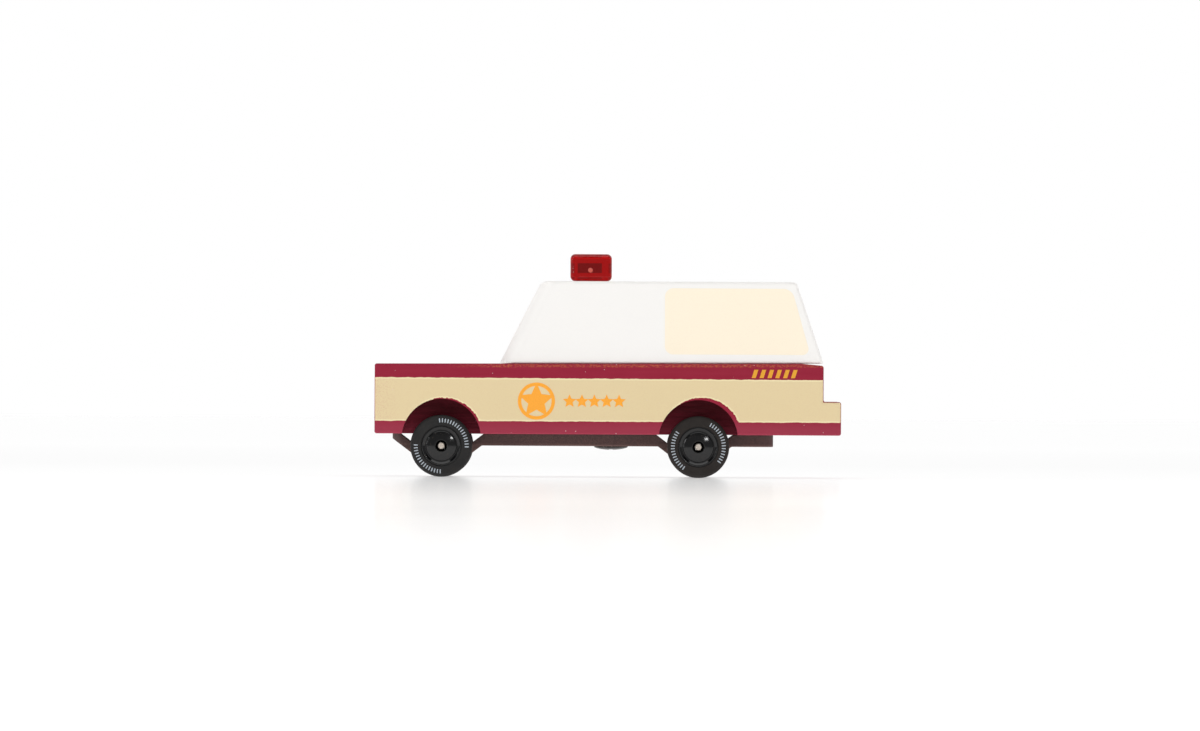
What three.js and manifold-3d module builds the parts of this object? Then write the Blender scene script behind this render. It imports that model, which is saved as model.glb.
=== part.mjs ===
// Toy truck: two painted wooden blocks on a moulded chassis, with two axles that turn freely.
// Millimetres, +Z up. The nose points to -X, and the origin is on the floor under the middle of the truck.
import * as THREE from 'three';
import { mergeVertices } from 'three/addons/utils/BufferGeometryUtils.js';
import Module from 'manifold-3d';

// Lower body block
const BODY_LENGTH = 98;
const BODY_WIDTH = 38;
const BODY_HEIGHT = 14.7;
const BODY_EDGE_ROUND = 0.45;
const BUMPER_LENGTH = 3.7;
const BUMPER_HEIGHT = 6.85;
const TAIL_SANDING_LENGTH = 4.6;
const TAIL_SANDING_DROP = 0.45;

// Cabin block, flush with the body at the tail
const CABIN_LENGTH = 68.1;
const CABIN_HEIGHT = 17.5;
const CABIN_SIDE_STEP = 0.6;
const CABIN_EDGE_ROUND = 0.7;
const ROOF_FRONT_RADIUS = 2.1;
const PILLAR_RADIUS = 3.6;
const WINDSCREEN_RAKE = THREE.MathUtils.degToRad(26.6);
const TAIL_RAKE = THREE.MathUtils.degToRad(18.3);

// Dowels that locate the cabin on the body
const DOWEL_RADIUS = 3;
const DOWEL_LENGTH = 14;
const DOWEL_CHAMFER = 0.6;
const DOWEL_FROM_CABIN_END = 16;
const DOWEL_CLEARANCE = 0.1;
const DOWEL_END_CLEARANCE = 0.3;

// Light bar across the roof
const SIREN_LENGTH = 8.75;
const SIREN_WIDTH = 16;
const SIREN_HEIGHT = 5.75;
const SIREN_EDGE_ROUND = 1;
const SIREN_BEHIND_ROOF_EDGE = 6;
const SIREN_PEG_RADIUS = 1.5;
const SIREN_PEG_LENGTH = 4.5;
const SIREN_PEG_CLEARANCE = 0.1;
const SIREN_PEG_END_CLEARANCE = 0.3;

// Wheels
const TYRE_RADIUS = 6.5;
const TYRE_WIDTH = 5.6;
const TYRE_WALL = 2.3;
const TYRE_SHOULDER = 0.8;
const TYRE_LIP = 0.25;
const TYRE_SEAT_CLEARANCE = 0.1;
const HUB_WALL = 0.8;
const HUB_RIB_HEIGHT = 0.4;
const HUB_RIB_WIDTH = 1.6;
const HUB_EDGE_SETBACK = 0.1;
const HUB_LIP = 0.3;
const HUB_DISH_DEPTH = 0.65;
const HUB_DISH_SLOPE = 0.42;
const HUB_DISH_FLOOR = 0.1;
const HUB_DOME_RISE = 0.6;
const HUB_DOME_SHOULDER = 0.35;
const HUB_WEB = 1.1;
const HUB_EYE_GAP = 0.49;
const HUB_EYE_DEPTH = 0.45;
const HUB_BOSS_WALL = 0.9;
const HUB_BOSS_REACH = 0.3;
const HUB_BORE_CLEARANCE = 0.05;
const WHEEL_INSET = 0.4;
const FRONT_OVERHANG = 14.05;
const REAR_OVERHANG = 29.95;

// Axles
const AXLE_RADIUS = 0.75;
const AXLE_CHAMFER = 0.15;
const AXLE_RECESS = 0.1;
const AXLE_RUNNING_CLEARANCE = 0.1;
const AXLE_FLOAT = 0.3;

// Wheel wells in the body
const WELL_CLEARANCE = 1.8;
const WELL_RISE = 1.6;
const WELL_BACK_CLEARANCE = 0.9;

// Chassis strip under the body
const CHASSIS_THICKNESS = 2.5;
const CHASSIS_SIDE_GAP = 3;
const CHASSIS_EDGE_ROUND = 0.4;
const CHASSIS_PLAN_RADIUS = 2.5;
const CHASSIS_NOSE = 10.35;
const CHASSIS_TAIL = 15.8;
const BEARING_WALL = 1.25;
const BEARING_TO_BODY = 0.45;
const DIP_THICKNESS = 2;
const DIP_FLOOR_HALF = 5.6;
const DIP_RAMP = THREE.MathUtils.degToRad(37);
const PEG_RADIUS = 1.5;
const PEG_HEIGHT = 2.2;
const PEG_CLEARANCE = 0.15;
const PEG_FROM_DIP = 4;
const PEG_FROM_TAIL = 3.4;

// Chassis screw
const SCREW_AHEAD_OF_REAR_AXLE = 18.35;
const SCREW_HEAD_RADIUS = 3.6;
const SCREW_HEAD_HEIGHT = 0.8;
const SCREW_HEAD_EDGE = 0.15;
const SCREW_SHANK_RADIUS = 1.25;
const SCREW_LENGTH = 9;
const SCREW_TIP_LENGTH = 2;
const SCREW_DRIVE_LENGTH = 3.4;
const SCREW_DRIVE_WIDTH = 0.7;
const SCREW_DRIVE_DEPTH = 0.45;
const SCREW_HOLE_CLEARANCE = 0.2;
const SCREW_PILOT_CLEARANCE = 0.05;
const SCREW_TIP_CLEARANCE = 0.3;

// How much rounder an outline's corners are than the edge that runs along them
const CORNER_EASE = 0.1;

// Fineness of the round surfaces
const WHEEL_FACETS = 28;
const ROD_FACETS = 16;
const WELL_FACETS = 48;
const CORNER_STEPS = 2;
const EDGE_STEPS = 2;
const DOME_STEPS = 4;
const WELD_DISTANCE = 1e-4;
const CUT_OVERSHOOT = 1;
const PLAN_MARGIN = 0.05;

// Heights and places that follow from the sizes above
const axleHeight = TYRE_RADIUS;
const bearingBore = AXLE_RADIUS + AXLE_RUNNING_CLEARANCE;
const bearingRadius = bearingBore + BEARING_WALL;
const underside = axleHeight + bearingRadius + BEARING_TO_BODY;
const bodyTop = underside + BODY_HEIGHT;
const noseX = -BODY_LENGTH / 2;
const tailX = BODY_LENGTH / 2;
const bodyRearX = tailX - BUMPER_LENGTH;
const frontAxleX = noseX + FRONT_OVERHANG;
const rearAxleX = tailX - REAR_OVERHANG;
const axlePlaces = [frontAxleX, rearAxleX];
const tyreSeat = TYRE_RADIUS - TYRE_WALL;
const hubRadius = tyreSeat - TYRE_SEAT_CLEARANCE;
const hubBore = AXLE_RADIUS + HUB_BORE_CLEARANCE;
const wheelFaceY = BODY_WIDTH / 2 - WHEEL_INSET;
const tyreBackY = wheelFaceY - TYRE_WIDTH;
const hubBossY = tyreBackY - HUB_BOSS_REACH;
const cabinFrontX = bodyRearX - CABIN_LENGTH;
const roofFrontX = cabinFrontX + CABIN_HEIGHT * Math.tan(WINDSCREEN_RAKE);
const roofRearX = bodyRearX - CABIN_HEIGHT * Math.tan(TAIL_RAKE);
const roofTop = bodyTop + CABIN_HEIGHT;
const sirenX = roofFrontX + SIREN_BEHIND_ROOF_EDGE + SIREN_LENGTH / 2;
const dowelPlaces = [cabinFrontX + DOWEL_FROM_CABIN_END, bodyRearX - DOWEL_FROM_CABIN_END];
const dowelHoleRadius = DOWEL_RADIUS + DOWEL_CLEARANCE;
const dowelHoleDepth = DOWEL_LENGTH / 2 + DOWEL_END_CLEARANCE;
const chassisNoseX = frontAxleX - CHASSIS_NOSE;
const chassisTailX = rearAxleX + CHASSIS_TAIL;
const chassisWidth = 2 * (tyreBackY - CHASSIS_SIDE_GAP);
const screwX = rearAxleX - SCREW_AHEAD_OF_REAR_AXLE;
const chassisBottom = underside - CHASSIS_THICKNESS;
const dipFloor = axleHeight - bearingRadius - underside;
const dipTopHalf = DIP_FLOOR_HALF - (dipFloor + DIP_THICKNESS) / Math.tan(DIP_RAMP);
const dipBottomHalf = DIP_FLOOR_HALF + (-CHASSIS_THICKNESS - dipFloor) / Math.tan(DIP_RAMP);
const pegPlaces = [frontAxleX + dipTopHalf + PEG_FROM_DIP, chassisTailX - PEG_FROM_TAIL];

const wasm = await Module();
wasm.setup();

// A closed geometry as a solid that can be cut and joined
function toSolid(geometry) {
  const bare = new THREE.BufferGeometry();
  bare.setAttribute('position', geometry.getAttribute('position'));
  bare.setIndex(geometry.getIndex());
  const welded = mergeVertices(bare, WELD_DISTANCE);
  const corners = welded.getIndex().array;
  const triVerts = [];
  for (let i = 0; i < corners.length; i += 3) {
    const [a, b, c] = corners.slice(i, i + 3);
    if (a !== b && b !== c && c !== a) triVerts.push(a, b, c);
  }
  return new wasm.Manifold(new wasm.Mesh({
    numProp: 3,
    vertProperties: Float32Array.from(welded.getAttribute('position').array),
    triVerts: Uint32Array.from(triVerts),
  }));
}

function toGeometry(solid) {
  const { vertProperties, triVerts } = solid.getMesh();
  const geometry = new THREE.BufferGeometry();
  geometry.setAttribute('position', new THREE.BufferAttribute(vertProperties, 3));
  geometry.setIndex(new THREE.BufferAttribute(triVerts, 1));
  geometry.computeVertexNormals();
  return geometry;
}

// A closed outline from corners given as [across, up, radius], counterclockwise, with arcs at round corners
function roundedOutline(corners) {
  const outline = new THREE.Shape();
  corners.forEach(([x, y, radius = 0], i) => {
    const corner = new THREE.Vector2(x, y);
    if (radius === 0) {
      if (i === 0) outline.moveTo(x, y);
      else outline.lineTo(x, y);
      return;
    }
    const back = new THREE.Vector2(...corners.at(i - 1)).sub(corner).normalize();
    const ahead = new THREE.Vector2(...corners[(i + 1) % corners.length]).sub(corner).normalize();
    const halfAngle = Math.acos(back.dot(ahead)) / 2;
    const reach = radius / Math.tan(halfAngle);
    const inward = back.clone().add(ahead).normalize();
    const centre = corner.clone().addScaledVector(inward, radius / Math.sin(halfAngle));
    const from = corner.clone().addScaledVector(back, reach).sub(centre).angle();
    const to = corner.clone().addScaledVector(ahead, reach).sub(centre).angle();
    outline.absarc(centre.x, centre.y, radius, from, to, back.cross(ahead) > 0);
  });
  outline.closePath();
  return outline;
}

// A side outline in X and Z, drawn across the truck to a width, with its edges rounded
function acrossTruck(outline, width, edgeRound) {
  const geometry = new THREE.ExtrudeGeometry(outline, {
    depth: width - 2 * edgeRound,
    curveSegments: CORNER_STEPS,
    bevelThickness: edgeRound,
    bevelSize: edgeRound,
    bevelOffset: -edgeRound,
    bevelSegments: EDGE_STEPS,
  });
  geometry.rotateX(Math.PI / 2);
  geometry.translate(0, width / 2 - edgeRound, 0);
  return geometry;
}

// A plan outline in X and Y, drawn upwards from z = bottom to z = top
function upwards(outline, bottom, top) {
  const geometry = new THREE.ExtrudeGeometry(outline, {
    depth: top - bottom,
    curveSegments: CORNER_STEPS * 2,
    bevelEnabled: false,
  });
  geometry.translate(0, 0, bottom);
  return geometry;
}

// A profile of radius and Y turned about Y, with a flat facet facing straight down at the stated radius
function turned(profile, facets) {
  const flatToCorner = 1 / Math.cos(Math.PI / facets);
  const points = profile.getPoints(DOME_STEPS).map((p) => new THREE.Vector2(p.x * flatToCorner, p.y));
  return new THREE.LatheGeometry(points, facets, Math.PI / facets);
}

// A straight round rod or hole, centred on its own middle and lying along Y
function crossRod(radius, length, facets) {
  const cornerRadius = radius / Math.cos(Math.PI / facets);
  return new THREE.CylinderGeometry(cornerRadius, cornerRadius, length, facets, 1, false, Math.PI / facets);
}

// A straight round rod or hole that stands on Z, from bottom to top at x
function uprightRod(radius, x, bottom, top) {
  const rod = crossRod(radius, top - bottom, ROD_FACETS);
  rod.rotateX(Math.PI / 2);
  rod.translate(x, 0, (bottom + top) / 2);
  return rod;
}

function finish(color, roughness, metalness = 0) {
  return new THREE.MeshStandardMaterial({ color, roughness, metalness });
}

function named(name, geometry, material) {
  const mesh = new THREE.Mesh(geometry, material);
  mesh.name = name;
  return mesh;
}

// Lower body: a sawn block with a bumper step, wheel wells, and blind holes for dowels, pegs and screw
function makeLowerBody() {
  const corner = BODY_EDGE_ROUND + CORNER_EASE;
  const outline = roundedOutline([
    [noseX, 0, corner],
    [tailX, 0, corner],
    [tailX, BUMPER_HEIGHT, corner],
    [bodyRearX, BUMPER_HEIGHT, corner],
    [bodyRearX, BODY_HEIGHT - TAIL_SANDING_DROP, corner],
    [bodyRearX - TAIL_SANDING_LENGTH, BODY_HEIGHT],
    [noseX, BODY_HEIGHT, corner],
  ]);
  let block = toSolid(acrossTruck(outline, BODY_WIDTH, BODY_EDGE_ROUND));
  const wellRadius = TYRE_RADIUS + WELL_CLEARANCE;
  const wellBackY = tyreBackY - WELL_BACK_CLEARANCE;
  const wellLength = BODY_WIDTH / 2 + CUT_OVERSHOOT - wellBackY;
  for (const axleX of axlePlaces) {
    for (const side of [-1, 1]) {
      const well = crossRod(wellRadius, wellLength, WELL_FACETS);
      well.translate(axleX, side * (wellBackY + wellLength / 2), axleHeight + WELL_RISE - underside);
      block = block.subtract(toSolid(well));
    }
  }
  for (const x of dowelPlaces) {
    const hole = uprightRod(dowelHoleRadius, x, BODY_HEIGHT - dowelHoleDepth, BODY_HEIGHT + CUT_OVERSHOOT);
    block = block.subtract(toSolid(hole));
  }
  for (const x of pegPlaces) {
    const socket = uprightRod(PEG_RADIUS + PEG_CLEARANCE, x, -CUT_OVERSHOOT, PEG_HEIGHT + PEG_CLEARANCE);
    block = block.subtract(toSolid(socket));
  }
  const pilotTop = SCREW_LENGTH - CHASSIS_THICKNESS + SCREW_TIP_CLEARANCE;
  const pilot = uprightRod(SCREW_SHANK_RADIUS + SCREW_PILOT_CLEARANCE, screwX, -CUT_OVERSHOOT, pilotTop);
  block = block.subtract(toSolid(pilot));
  const mesh = named('lower_body', toGeometry(block), finish(0x962139, 0.45));
  mesh.position.z = underside;
  return mesh;
}

// Cabin: a sawn block whose pillar edges are rounded along the rake of the windscreen
function makeCabin() {
  const below = -CUT_OVERSHOOT;
  const outline = roundedOutline([
    [cabinFrontX + below * Math.tan(WINDSCREEN_RAKE), below],
    [bodyRearX - below * Math.tan(TAIL_RAKE), below],
    [roofRearX, CABIN_HEIGHT, CABIN_EDGE_ROUND + CORNER_EASE],
    [roofFrontX, CABIN_HEIGHT, ROOF_FRONT_RADIUS],
  ]);
  const cabinWidth = BODY_WIDTH - 2 * CABIN_SIDE_STEP;
  const planFront = cabinFrontX - PLAN_MARGIN;
  const planRear = tailX;
  const planSide = cabinWidth / 2 + PLAN_MARGIN;
  const plan = upwards(roundedOutline([
    [planFront, -planSide, PILLAR_RADIUS],
    [planRear, -planSide],
    [planRear, planSide],
    [planFront, planSide, PILLAR_RADIUS],
  ]), 0, CABIN_HEIGHT + CUT_OVERSHOOT);
  plan.applyMatrix4(new THREE.Matrix4().makeShear(0, 0, 0, 0, Math.tan(WINDSCREEN_RAKE), 0));
  let block = toSolid(acrossTruck(outline, cabinWidth, CABIN_EDGE_ROUND)).intersect(toSolid(plan));
  for (const x of dowelPlaces) {
    block = block.subtract(toSolid(uprightRod(dowelHoleRadius, x, -CUT_OVERSHOOT, dowelHoleDepth)));
  }
  const pegHoleBottom = CABIN_HEIGHT - SIREN_PEG_LENGTH - SIREN_PEG_END_CLEARANCE;
  const pegHoleRadius = SIREN_PEG_RADIUS + SIREN_PEG_CLEARANCE;
  const pegHole = uprightRod(pegHoleRadius, sirenX, pegHoleBottom, CABIN_HEIGHT + CUT_OVERSHOOT);
  block = block.subtract(toSolid(pegHole));
  const mesh = named('cabin', toGeometry(block), finish(0xf8f7f5, 0.4));
  mesh.position.z = bodyTop;
  return mesh;
}

// Dowel: a turned beech peg with chamfered ends, half in the body and half in the cabin
function makeDowel(name, x) {
  const half = DOWEL_LENGTH / 2;
  const profile = new THREE.Path();
  profile.moveTo(0, -half);
  profile.lineTo(DOWEL_RADIUS - DOWEL_CHAMFER, -half);
  profile.lineTo(DOWEL_RADIUS, -half + DOWEL_CHAMFER);
  profile.lineTo(DOWEL_RADIUS, half - DOWEL_CHAMFER);
  profile.lineTo(DOWEL_RADIUS - DOWEL_CHAMFER, half);
  profile.lineTo(0, half);
  const mesh = named(name, toGeometry(toSolid(turned(profile, ROD_FACETS))), finish(0xc9a26b, 0.7));
  mesh.rotation.x = Math.PI / 2;
  mesh.position.set(x, 0, bodyTop);
  return mesh;
}

// Light bar: a moulded lens with soft edges and a peg that presses into the roof
function makeSirenLens() {
  const half = SIREN_LENGTH / 2;
  const corner = SIREN_EDGE_ROUND + CORNER_EASE;
  const outline = roundedOutline([
    [-half, 0, corner],
    [half, 0, corner],
    [half, SIREN_HEIGHT, corner],
    [-half, SIREN_HEIGHT, corner],
  ]);
  const bar = toSolid(acrossTruck(outline, SIREN_WIDTH, SIREN_EDGE_ROUND));
  const peg = toSolid(uprightRod(SIREN_PEG_RADIUS, 0, -SIREN_PEG_LENGTH, SIREN_HEIGHT / 2));
  const mesh = named('siren_lens', toGeometry(bar.add(peg)), finish(0xc8141c, 0.1));
  mesh.position.set(sirenX, 0, roofTop);
  return mesh;
}

// Chassis: a moulded strip that dips under each axle, with bearing barrels, locating pegs and a screw hole
function makeChassis() {
  const corner = CHASSIS_EDGE_ROUND + CORNER_EASE;
  const noseBottom = dipFloor + (CHASSIS_NOSE - DIP_FLOOR_HALF) * Math.tan(DIP_RAMP);
  // The corners of one dip from front to rear, on the strip's lower or upper side
  const dip = (axleX, half, floor, edge) => [
    [axleX - half, edge],
    [axleX - DIP_FLOOR_HALF, floor],
    [axleX + DIP_FLOOR_HALF, floor],
    [axleX + half, edge],
  ];
  const lower = axlePlaces.flatMap((x) => dip(x, dipBottomHalf, dipFloor, -CHASSIS_THICKNESS));
  const upper = axlePlaces.flatMap((x) => dip(x, dipTopHalf, dipFloor + DIP_THICKNESS, 0));
  // The front ramp runs on past the flat's level to the nose, so it has no corner there
  const outline = roundedOutline([
    [chassisNoseX, noseBottom],
    ...lower.slice(1),
    [chassisTailX, -CHASSIS_THICKNESS, corner],
    [chassisTailX, 0, corner],
    ...upper.reverse(),
    [chassisNoseX, 0],
  ]);
  const planFront = chassisNoseX - PLAN_MARGIN;
  const planRear = chassisTailX + PLAN_MARGIN;
  const planSide = chassisWidth / 2 + PLAN_MARGIN;
  const plan = upwards(roundedOutline([
    [planFront, -planSide, CHASSIS_PLAN_RADIUS],
    [planRear, -planSide, CHASSIS_PLAN_RADIUS],
    [planRear, planSide, CHASSIS_PLAN_RADIUS],
    [planFront, planSide, CHASSIS_PLAN_RADIUS],
  ]), dipFloor - CUT_OVERSHOOT, CUT_OVERSHOOT);
  let strip = toSolid(acrossTruck(outline, chassisWidth, CHASSIS_EDGE_ROUND)).intersect(toSolid(plan));
  for (const x of pegPlaces) {
    strip = strip.add(toSolid(uprightRod(PEG_RADIUS, x, -CHASSIS_THICKNESS / 2, PEG_HEIGHT)));
  }
  const barrelLength = 2 * (hubBossY - AXLE_FLOAT);
  for (const axleX of axlePlaces) {
    const barrel = crossRod(bearingRadius, barrelLength, WHEEL_FACETS);
    barrel.translate(axleX, 0, axleHeight - underside);
    strip = strip.add(toSolid(barrel));
  }
  for (const axleX of axlePlaces) {
    const bore = crossRod(bearingBore, barrelLength + CUT_OVERSHOOT, ROD_FACETS);
    bore.translate(axleX, 0, axleHeight - underside);
    strip = strip.subtract(toSolid(bore));
  }
  const holeRadius = SCREW_SHANK_RADIUS + SCREW_HOLE_CLEARANCE;
  const hole = uprightRod(holeRadius, screwX, -CHASSIS_THICKNESS - CUT_OVERSHOOT, CUT_OVERSHOOT);
  strip = strip.subtract(toSolid(hole));
  const mesh = named('chassis', toGeometry(strip), finish(0x35302f, 0.6));
  mesh.position.z = underside;
  return mesh;
}

// Chassis screw: a low domed head with a cross recess, and a plain shank with a pointed tip
function makeChassisScrew() {
  const profile = new THREE.Path();
  profile.moveTo(0, -SCREW_LENGTH);
  profile.lineTo(SCREW_SHANK_RADIUS, -SCREW_LENGTH + SCREW_TIP_LENGTH);
  profile.lineTo(SCREW_SHANK_RADIUS, 0);
  profile.lineTo(SCREW_HEAD_RADIUS, 0);
  profile.lineTo(SCREW_HEAD_RADIUS, SCREW_HEAD_EDGE);
  profile.quadraticCurveTo(SCREW_HEAD_RADIUS / 2, SCREW_HEAD_HEIGHT, 0, SCREW_HEAD_HEIGHT);
  let screw = toSolid(turned(profile, ROD_FACETS));
  const cutHeight = SCREW_DRIVE_DEPTH + CUT_OVERSHOOT;
  for (const turn of [0, Math.PI / 2]) {
    const slot = new THREE.BoxGeometry(SCREW_DRIVE_LENGTH, cutHeight, SCREW_DRIVE_WIDTH);
    slot.rotateY(turn);
    slot.translate(0, SCREW_HEAD_HEIGHT - SCREW_DRIVE_DEPTH + cutHeight / 2, 0);
    screw = screw.subtract(toSolid(slot));
  }
  const mesh = named('chassis_screw', toGeometry(screw), finish(0x3a3836, 0.4, 0.8));
  mesh.rotation.x = -Math.PI / 2;
  mesh.position.set(screwX, 0, chassisBottom);
  return mesh;
}

// Axle: a steel rod with chamfered ends, through both bearing ends and both hubs
function makeAxle(name) {
  const half = wheelFaceY - AXLE_RECESS;
  const profile = new THREE.Path();
  profile.moveTo(0, -half);
  profile.lineTo(AXLE_RADIUS - AXLE_CHAMFER, -half);
  profile.lineTo(AXLE_RADIUS, -half + AXLE_CHAMFER);
  profile.lineTo(AXLE_RADIUS, half - AXLE_CHAMFER);
  profile.lineTo(AXLE_RADIUS - AXLE_CHAMFER, half);
  profile.lineTo(0, half);
  return named(name, toGeometry(toSolid(turned(profile, ROD_FACETS))), finish(0xd8d8d8, 0.25, 1));
}

// Hub: a moulded cup with a dished face, a wide dome round the axle, a rib for the tyre and a long boss.
// Its outer face is at y = 0 and it reaches inwards to -Y.
function makeHub(name) {
  const ribFront = -(TYRE_WIDTH - HUB_RIB_WIDTH) / 2;
  const back = -TYRE_WIDTH + HUB_EDGE_SETBACK;
  const boss = -TYRE_WIDTH - HUB_BOSS_REACH;
  const barrelInner = hubRadius - HUB_WALL;
  const lipInner = hubRadius - HUB_LIP;
  const dishEdge = lipInner - HUB_DISH_SLOPE;
  const domeEdge = dishEdge - HUB_DISH_FLOOR;
  const eye = AXLE_RADIUS + HUB_EYE_GAP;
  const bossRadius = hubBore + HUB_BOSS_WALL;
  const ribRadius = hubRadius + HUB_RIB_HEIGHT;
  const domeTop = -HUB_DISH_DEPTH + HUB_DOME_RISE;
  const cupFloor = -HUB_DISH_DEPTH - HUB_WEB;
  const profile = new THREE.Path();
  profile.moveTo(hubBore, boss);
  profile.lineTo(bossRadius, boss);
  profile.lineTo(bossRadius, cupFloor);
  profile.lineTo(barrelInner, cupFloor);
  profile.lineTo(barrelInner, back);
  profile.lineTo(hubRadius, back);
  profile.lineTo(hubRadius, ribFront - HUB_RIB_WIDTH);
  profile.lineTo(ribRadius, ribFront - HUB_RIB_WIDTH);
  profile.lineTo(ribRadius, ribFront);
  profile.lineTo(hubRadius, ribFront);
  profile.lineTo(hubRadius, -HUB_EDGE_SETBACK);
  profile.lineTo(hubRadius - HUB_EDGE_SETBACK, 0);
  profile.lineTo(lipInner, 0);
  profile.lineTo(dishEdge, -HUB_DISH_DEPTH);
  profile.lineTo(domeEdge, -HUB_DISH_DEPTH);
  profile.quadraticCurveTo(domeEdge - HUB_DOME_SHOULDER, domeTop, eye, domeTop);
  profile.lineTo(eye, domeTop - HUB_EYE_DEPTH);
  profile.lineTo(hubBore, domeTop - HUB_EYE_DEPTH);
  profile.closePath();
  return named(name, toGeometry(toSolid(turned(profile, WHEEL_FACETS))), finish(0x151515, 0.15));
}

// Tyre: a rubber ring with rounded shoulders and a groove that takes the hub's rib
function makeTyre(name) {
  const grooveFloor = tyreSeat + HUB_RIB_HEIGHT;
  const grooveFront = -(TYRE_WIDTH - HUB_RIB_WIDTH) / 2 + TYRE_SEAT_CLEARANCE;
  const grooveBack = grooveFront - HUB_RIB_WIDTH - 2 * TYRE_SEAT_CLEARANCE;
  const shoulderFlat = TYRE_RADIUS - TYRE_SHOULDER;
  const profile = new THREE.Path();
  profile.moveTo(tyreSeat, -TYRE_WIDTH + TYRE_LIP);
  profile.lineTo(tyreSeat + TYRE_LIP, -TYRE_WIDTH);
  profile.lineTo(shoulderFlat, -TYRE_WIDTH);
  profile.quadraticCurveTo(TYRE_RADIUS, -TYRE_WIDTH, TYRE_RADIUS, -TYRE_WIDTH + TYRE_SHOULDER);
  profile.lineTo(TYRE_RADIUS, -TYRE_SHOULDER);
  profile.quadraticCurveTo(TYRE_RADIUS, 0, shoulderFlat, 0);
  profile.lineTo(tyreSeat + TYRE_LIP, 0);
  profile.lineTo(tyreSeat, -TYRE_LIP);
  profile.lineTo(tyreSeat, grooveFront);
  profile.lineTo(grooveFloor, grooveFront);
  profile.lineTo(grooveFloor, grooveBack);
  profile.lineTo(tyreSeat, grooveBack);
  profile.closePath();
  return named(name, toGeometry(toSolid(turned(profile, WHEEL_FACETS))), finish(0x222222, 0.8));
}

// Wheelset: an axle with a wheel pressed on each end, which turns as one
function makeWheelset(end, axleX) {
  const wheelset = new THREE.Group();
  wheelset.position.set(axleX, 0, axleHeight);
  wheelset.add(makeAxle(`${end}_axle`));
  for (const [side, across, turn] of [['left', -1, Math.PI], ['right', 1, 0]]) {
    const wheel = new THREE.Group();
    wheel.position.y = across * wheelFaceY;
    wheel.rotation.z = turn;
    wheel.add(makeHub(`${end}_${side}_hub`), makeTyre(`${end}_${side}_tyre`));
    wheelset.add(wheel);
  }
  return wheelset;
}

const truck = new THREE.Group();
truck.add(
  makeLowerBody(),
  makeCabin(),
  makeDowel('cabin_dowel_front', dowelPlaces[0]),
  makeDowel('cabin_dowel_rear', dowelPlaces[1]),
  makeSirenLens(),
  makeChassis(),
  makeChassisScrew(),
  makeWheelset('front', frontAxleX),
  makeWheelset('rear', rearAxleX),
);

export default truck;
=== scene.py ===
# Toy sheriff truck: two painted wooden blocks on a moulded chassis, with two wheelsets that turn freely.
# Metres, +Z up. The nose points to -X, and the camera looks along +Y at the truck's left side.
import math

import bmesh
import bpy
from mathutils import Color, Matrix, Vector


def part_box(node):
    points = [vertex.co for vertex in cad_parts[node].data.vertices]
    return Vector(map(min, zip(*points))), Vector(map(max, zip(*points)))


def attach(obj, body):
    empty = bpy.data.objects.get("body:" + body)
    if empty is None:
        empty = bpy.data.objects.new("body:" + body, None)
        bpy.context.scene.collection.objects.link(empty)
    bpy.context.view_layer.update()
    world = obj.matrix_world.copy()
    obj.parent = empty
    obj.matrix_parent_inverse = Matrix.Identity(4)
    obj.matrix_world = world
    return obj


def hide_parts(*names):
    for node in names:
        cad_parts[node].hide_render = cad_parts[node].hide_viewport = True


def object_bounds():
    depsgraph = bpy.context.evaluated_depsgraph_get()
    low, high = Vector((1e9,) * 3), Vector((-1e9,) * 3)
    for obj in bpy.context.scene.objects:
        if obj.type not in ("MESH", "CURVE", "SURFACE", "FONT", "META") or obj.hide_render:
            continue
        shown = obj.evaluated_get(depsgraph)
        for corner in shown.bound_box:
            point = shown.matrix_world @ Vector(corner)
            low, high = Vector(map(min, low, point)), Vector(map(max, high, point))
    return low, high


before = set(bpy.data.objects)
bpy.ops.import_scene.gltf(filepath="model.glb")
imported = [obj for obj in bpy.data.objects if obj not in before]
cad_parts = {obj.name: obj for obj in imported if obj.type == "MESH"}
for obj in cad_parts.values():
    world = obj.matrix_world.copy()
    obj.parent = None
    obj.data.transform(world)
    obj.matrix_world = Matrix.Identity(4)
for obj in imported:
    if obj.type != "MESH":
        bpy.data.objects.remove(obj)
cad_low, cad_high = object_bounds()

# Camera
# A long lens stands level with the top of the lower body, square to the truck's left side.
# It leans a little, so the tail lies lower in the picture than the nose.
MM = 0.001
PHOTO_WIDTH_PIXELS = 1200
PIXEL = 0.21 * MM
CAMERA_DISTANCE = 3600 * MM
CAMERA_HEIGHT = 23.54 * MM
CAMERA_ACROSS = -1.69 * MM
CAMERA_LEAN = math.radians(-0.3)
CAMERA_NEAR = 10 * MM

bpy.ops.object.select_all(action="DESELECT")
bpy.ops.object.camera_add(
    location=(CAMERA_ACROSS, cad_low.y - CAMERA_DISTANCE, CAMERA_HEIGHT),
    rotation=(math.pi / 2, CAMERA_LEAN, 0),
)
camera = bpy.context.object
camera.data.lens = camera.data.sensor_width * CAMERA_DISTANCE / (PHOTO_WIDTH_PIXELS * PIXEL)
camera.data.clip_start = CAMERA_NEAR
bpy.context.scene.camera = camera
bpy.context.scene.view_settings.view_transform = "Standard"


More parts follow.
